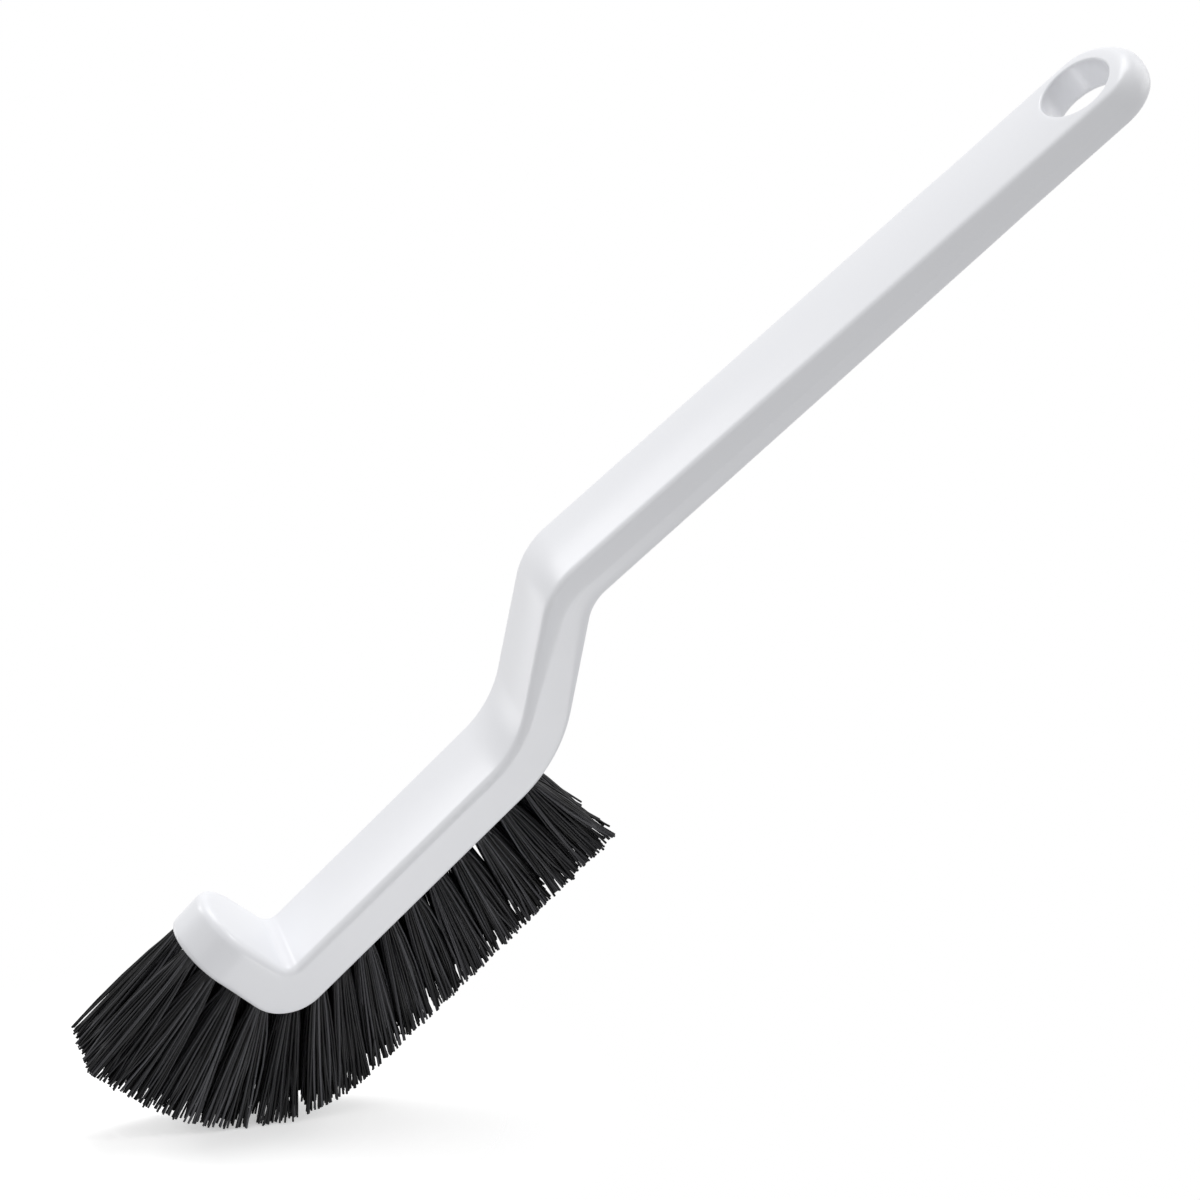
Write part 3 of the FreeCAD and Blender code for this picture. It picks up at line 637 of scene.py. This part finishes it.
# a capped tube round each path: its rings are the path plus a radius turned by even steps,
# and one tone for each tube is kept as an attribute
def tubeMesh(name, path, rng):
    count, rows = path.shape[:2]
    sides = tuft["sides"]
    axis = path[:, -1] - path[:, 1]
    axis = axis / np.linalg.norm(axis, axis=1)[:, None]
    first = np.cross(axis, np.array([0.0, 1.0, 0.0]))
    first = first / np.linalg.norm(first, axis=1)[:, None]
    second = np.cross(axis, first)
    turn = np.arange(sides) * 2 * math.pi / sides
    girth = tuft["filamentRadius"] * rng.uniform(*tuft["girth"], (count, 1, 1, 1))
    circle = np.cos(turn)[:, None] * first[:, None] + np.sin(turn)[:, None] * second[:, None]
    points = path[:, :, None] + girth * circle[:, None]
    starts = np.arange(count) * rows * sides
    quads = (gridQuads(rows, sides, True)[None] + starts[:, None, None]).reshape(-1, 4)
    lowCap = np.arange(sides)[None] + starts[:, None]
    tipCap = lowCap + (rows - 1) * sides
    mesh = bpy.data.meshes.new(name)
    faces = quads[:, ::-1].tolist() + lowCap.tolist() + tipCap.tolist()    # sides and root caps point inwards
    mesh.from_pydata(points.reshape(-1, 3).tolist(), [], faces)
    flat = np.zeros(len(mesh.polygons), bool)
    flat[len(quads):] = True
    mesh.polygons.foreach_set("use_smooth", ~flat)
    tone = np.repeat(rng.random(count) ** tuft["toneBend"], rows * sides).astype(np.float32)
    mesh.attributes.new("tone", "FLOAT", "POINT").data.foreach_set("value", tone)
    return mesh


# blind holes for the tufts: closed cylinders along each tuft, from its hole's bottom to above the surface
def wellMesh(foot, way):
    sides = tuft["wellSides"]
    turn = np.arange(sides) * 2 * math.pi / sides
    ahead = leftOf(way)
    radius = tuft["holeDiameter"] / 2
    ends = np.array([-tuft["holeDepth"], tuft["wellRise"]])
    line = foot[:, None] + way[:, None] * ends[None, :, None]
    ring = line[:, :, None] + ahead[:, None, None] * (radius * np.cos(turn))[None, None, :, None]
    rows = np.array([-1, 1]) * tuft["rowSpacing"] / 2
    ring = np.broadcast_to(ring, (2,) + ring.shape)
    across = rows[:, None, None, None] + np.broadcast_to(radius * np.sin(turn), ring.shape[:-1])
    points = inFrame(ring, across).reshape(-1, 2 * sides, 3)
    firsts = (np.arange(len(points)) * 2 * sides)[:, None]
    quads = (gridQuads(2, sides, True)[None] + firsts[:, None]).reshape(-1, 4)
    lowCaps = np.arange(sides)[None] + firsts
    highCaps = np.arange(sides)[None, ::-1] + sides + firsts
    mesh = bpy.data.meshes.new("tuftWells")
    faces = quads.tolist() + lowCaps.tolist() + highCaps.tolist()
    mesh.from_pydata(points.reshape(-1, 3).tolist(), [], faces)
    made = bmesh.new()
    made.from_mesh(mesh)
    bmesh.ops.recalc_face_normals(made, faces=made.faces)
    made.to_mesh(mesh)
    made.free()
    return mesh


foot, way = tuftSeats()
blockPiece = addObject("handleBlock", barMesh(), plastic)
wells = addObject("tuftWells", wellMesh(foot, way))
cut = blockPiece.modifiers.new("tuftHoles", "BOOLEAN")
cut.operation = "DIFFERENCE"
cut.solver = "EXACT"
cut.object = wells
bpy.context.view_layer.update()
cutMesh = bpy.data.meshes.new_from_object(blockPiece.evaluated_get(bpy.context.evaluated_depsgraph_get()))
blockPiece.modifiers.clear()
blockPiece.data = cutMesh
bpy.data.objects.remove(wells)
cutMesh.polygons.foreach_set("use_smooth", np.ones(len(cutMesh.polygons), bool))
cutMesh.set_sharp_from_angle(angle=math.radians(bar["sharpAngle"]))
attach(blockPiece, "root")
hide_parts("handle_block")
print("bar made, faces:", len(cutMesh.polygons))

spread = tipSpread(foot, way)
filamentTotal = 0
for rowName, side in (("near", -1), ("far", 1)):
    for number in range(tuft["perRow"]):
        rng = np.random.default_rng(tuft["seedStep"] * (side + 2) + number)
        isFront, isTail = number == tuft["perRow"] - 1, number == 0
        fill = tuft["fill"][rowName]
        flares = (tuft["frontFlare"] if isFront else fill, tuft["tailFlare"][rowName] if isTail else fill)
        droop = tuft["frontDroop"] if isFront else 0.0
        more = tuft["frontMore"] * max(0, number + 3 - tuft["perRow"]) / 2
        name = "tuft" + rowName.capitalize() + "%02d" % (number + 1)
        path = tuftPaths(foot[number], way[number], spread[number], rowName, side, flares, droop, more, rng)
        piece = addObject(name, tubeMesh(name, path, rng), bristle)
        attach(piece, "root")
        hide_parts("tuft_%s_%02d" % (rowName, number + 1))
        filamentTotal += tuft["filaments"]
print("tufts made, filaments:", filamentTotal)

anchors = frame["nodes"]["tuft_anchors"]
anchors.data.materials.clear()
anchors.data.materials.append(wire)

# camera, floor and light, set by the photograph's view

view = {
    "azimuth": 7.97, "elevation": 32.74, "roll": 48.938, "distance": 0.691647, "lens": 100.0,
    "sensor": 36.0, "clipStart": 0.01, "target": (-0.005819, 0.0, 0.040017), "floorTilt": 13.0,
}

az, el, roll = (math.radians(view[key]) for key in ("azimuth", "elevation", "roll"))
back = Vector((math.sin(az) * math.cos(el), -math.cos(az) * math.cos(el), math.sin(el)))
sideways = Vector((math.cos(az), math.sin(az), 0))
above = back.cross(sideways)
camRight = math.cos(roll) * sideways - math.sin(roll) * above
camUp = math.sin(roll) * sideways + math.cos(roll) * above
target = Vector(view["target"])

camera = bpy.data.objects.new("camera", bpy.data.cameras.new("camera"))
bpy.context.scene.collection.objects.link(camera)
camera.data.lens = view["lens"]
camera.data.sensor_width = view["sensor"]
camera.data.clip_start = view["clipStart"]
camera.matrix_world = Matrix.Translation(target + back * view["distance"]) @ Matrix(
    (camRight, camUp, back)).transposed().to_4x4()
bpy.context.scene.camera = camera

tilt = math.radians(view["floorTilt"])
floorUp = (math.cos(tilt) * camUp + math.sin(tilt) * back).normalized()
floorAhead = (back - back.dot(floorUp) * floorUp).normalized()
floorRight = floorAhead.cross(floorUp)


# a place or direction given to the picture's right, up and towards the camera, as a vector of the frame
def inPicture(place):
    return camRight * place[0] + camUp * place[1] + back * place[2]


# the lowest bristle tip: the least height of any tuft's point along the floor's upright
def lowestTip():
    heights = []
    for piece in bpy.data.objects:
        if piece.name.startswith("tuftNear") or piece.name.startswith("tuftFar"):
            places = np.empty(len(piece.data.vertices) * 3)
            piece.data.vertices.foreach_get("co", places)
            heights.append((places.reshape(-1, 3) @ np.array(floorUp)).min())
    return min(heights)


floorLook = {
    "colour": (0.92, 0.92, 0.92, 1), "glow": 0.43, "half": 0.5, "fadeFrom": 0.01, "fadeTo": 0.10,
    "middle": (-0.090, -0.11, -0.03),                   # right, up and towards the camera from the target
}


# rays that see the white surroundings: those from the camera, reflected or passed on; their sum, held at 1
def whiteRays(tree, place):
    rays = node(tree, "ShaderNodeLightPath", (place[0] - 400, place[1]))
    total = rays.outputs["Is Camera Ray"]
    for step, name in enumerate(("Is Glossy Ray", "Is Transmission Ray")):
        spot = (place[0] - 200 + 200 * step, place[1])
        added = node(tree, "ShaderNodeMath", spot, operation="ADD", use_clamp=True)
        tree.links.new(total, added.inputs[0])
        tree.links.new(rays.outputs[name], added.inputs[1])
        total = added.outputs[0]
    return total


# white floor that keeps the shadow: the camera sees it lit, with a glow added, from its upper side;
# from below, and to the light on its way to the brush, it is clear, and it thins out by a smooth step
# with the distance from its middle, where the white surroundings take over
def floorMaterial(middle):
    material, tree, shader = newMaterial("paleFloor")
    link = tree.links.new
    tree.nodes.remove(shader)
    out = tree.nodes["Material Output"]
    matte = node(tree, "ShaderNodeBsdfDiffuse", (-400, 100), Color=floorLook["colour"])
    glow = node(tree, "ShaderNodeEmission", (-400, -100), Strength=floorLook["glow"])
    both = node(tree, "ShaderNodeAddShader", (-200, 0))
    link(matte.outputs[0], both.inputs[0])
    link(glow.outputs[0], both.inputs[1])
    sides = node(tree, "ShaderNodeNewGeometry", (-600, 500))
    seen = node(tree, "ShaderNodeMath", (-400, 400), operation="SUBTRACT", use_clamp=True)
    link(whiteRays(tree, (-600, 300)), seen.inputs[0])
    link(sides.outputs["Backfacing"], seen.inputs[1])
    coords = node(tree, "ShaderNodeTexCoord", (-1000, 700))
    apart = node(tree, "ShaderNodeVectorMath", (-800, 700), operation="DISTANCE")
    apart.inputs[1].default_value = middle
    link(coords.outputs["Object"], apart.inputs[0])
    fade = node(tree, "ShaderNodeMapRange", (-600, 700), interpolation_type="SMOOTHSTEP")
    for name, value in (("From Min", floorLook["fadeFrom"]), ("From Max", floorLook["fadeTo"]),
                        ("To Min", 1.0), ("To Max", 0.0)):
        fade.inputs[name].default_value = value
    link(apart.outputs["Value"], fade.inputs["Value"])
    shown = node(tree, "ShaderNodeMath", (-200, 500), operation="MULTIPLY")
    link(seen.outputs[0], shown.inputs[0])
    link(fade.outputs["Result"], shown.inputs[1])
    clear = node(tree, "ShaderNodeBsdfTransparent", (-200, -200))
    pick = node(tree, "ShaderNodeMixShader", (0, 0))
    link(shown.outputs[0], pick.inputs[0])
    link(clear.outputs[0], pick.inputs[1])
    link(both.outputs[0], pick.inputs[2])
    link(pick.outputs[0], out.inputs["Surface"])
    return material


# a square floor under the toe: its middle is moved along the upright to the height of the lowest tip
def makeFloor():
    centre = target + inPicture(floorLook["middle"])
    centre = centre + floorUp * (lowestTip() - centre.dot(floorUp))
    half = floorLook["half"]
    corners = [centre + floorRight * (half * a) + floorAhead * (half * b)
               for a, b in ((-1, 1), (1, 1), (1, -1), (-1, -1))]
    mesh = bpy.data.meshes.new("floor")
    mesh.from_pydata([tuple(corner) for corner in corners], [], [(0, 1, 2, 3)])
    if mesh.polygons[0].normal.dot(floorUp) < 0:
        mesh.flip_normals()
    floor = addObject("floor", mesh, floorMaterial(centre))


makeFloor()

worldLook = {"colour": (1.0, 1.0, 1.0, 1), "sky": 0.44, "seen": 1.0}


# world: the camera and mirror-like surfaces see white, everything else is lit by a plain dimmer sky
def makeWorld():
    world = bpy.data.worlds.new("studio")
    bpy.context.scene.world = world
    world.use_nodes = True
    tree = world.node_tree
    sky = tree.nodes["Background"]
    sky.inputs["Color"].default_value = worldLook["colour"]
    sky.inputs["Strength"].default_value = worldLook["sky"]
    white = node(tree, "ShaderNodeBackground", (0, -150), Strength=worldLook["seen"])
    white.inputs["Color"].default_value = worldLook["colour"]
    pick = node(tree, "ShaderNodeMixShader", (250, 0))
    tree.links.new(whiteRays(tree, (-200, 200)), pick.inputs[0])
    tree.links.new(sky.outputs[0], pick.inputs[1])
    tree.links.new(white.outputs[0], pick.inputs[2])
    tree.links.new(pick.outputs[0], tree.nodes["World Output"].inputs["Surface"])


makeWorld()

# lamps: from and at are to the picture's right, up and towards the camera; a lamp without at points
# at the target, one without distance is at the usual distance, and one with a cone is a spot
lampDistance = 1.5
lamps = {
    "key": {"from": (0.05, 0.96, 0.05), "size": 0.9, "power": 10.0},
    "left": {"from": (-0.76, 0.63, -0.15), "size": 0.55, "power": 4.3},
    "neck": {"from": (-0.830, 0.0, -0.550), "size": 0.45, "power": 1.3},
    "right": {"from": (0.80, 0.52, -0.25), "size": 1.2, "power": 5.0},
    "nose": {"from": (0.66, 0.61, 0.45), "at": (-0.07, -0.064, 0.0), "distance": 0.40, "size": 0.02,
             "power": 1.1, "cone": 9.0, "blend": 0.6},
    "low": {"from": (0.50, -0.75, 0.40), "at": (-0.05, -0.06, 0.0), "distance": 0.40, "size": 0.16,
            "power": 0.27},
    "under": {"from": (0.45, -0.85, 0.15), "size": 0.8, "power": 0.8},
    "front": {"from": (-0.55, 0.20, 0.80), "size": 1.0, "power": 3.0},
}


# a square lamp, or a round spot where a cone is given: it stands at its distance from the place it points at
def addLamp(name, values):
    away = inPicture(values["from"]).normalized()
    aim = target + inPicture(values.get("at", (0.0, 0.0, 0.0)))
    place = aim + away * values.get("distance", lampDistance)
    lamp = bpy.data.lights.new(name, "SPOT" if "cone" in values else "AREA")
    if "cone" in values:
        lamp.spot_size = math.radians(values["cone"])
        lamp.spot_blend = values["blend"]
        lamp.shadow_soft_size = values["size"]
    else:
        lamp.size = values["size"]
    lamp.energy = values["power"]
    made = bpy.data.objects.new(name, lamp)
    made.matrix_world = Matrix.Translation(place) @ away.to_track_quat("Z", "Y").to_matrix().to_4x4()
    made.visible_camera = False
    bpy.context.scene.collection.objects.link(made)


for lampName, lampValues in lamps.items():
    addLamp(lampName, lampValues)
print("camera, floor and light set")
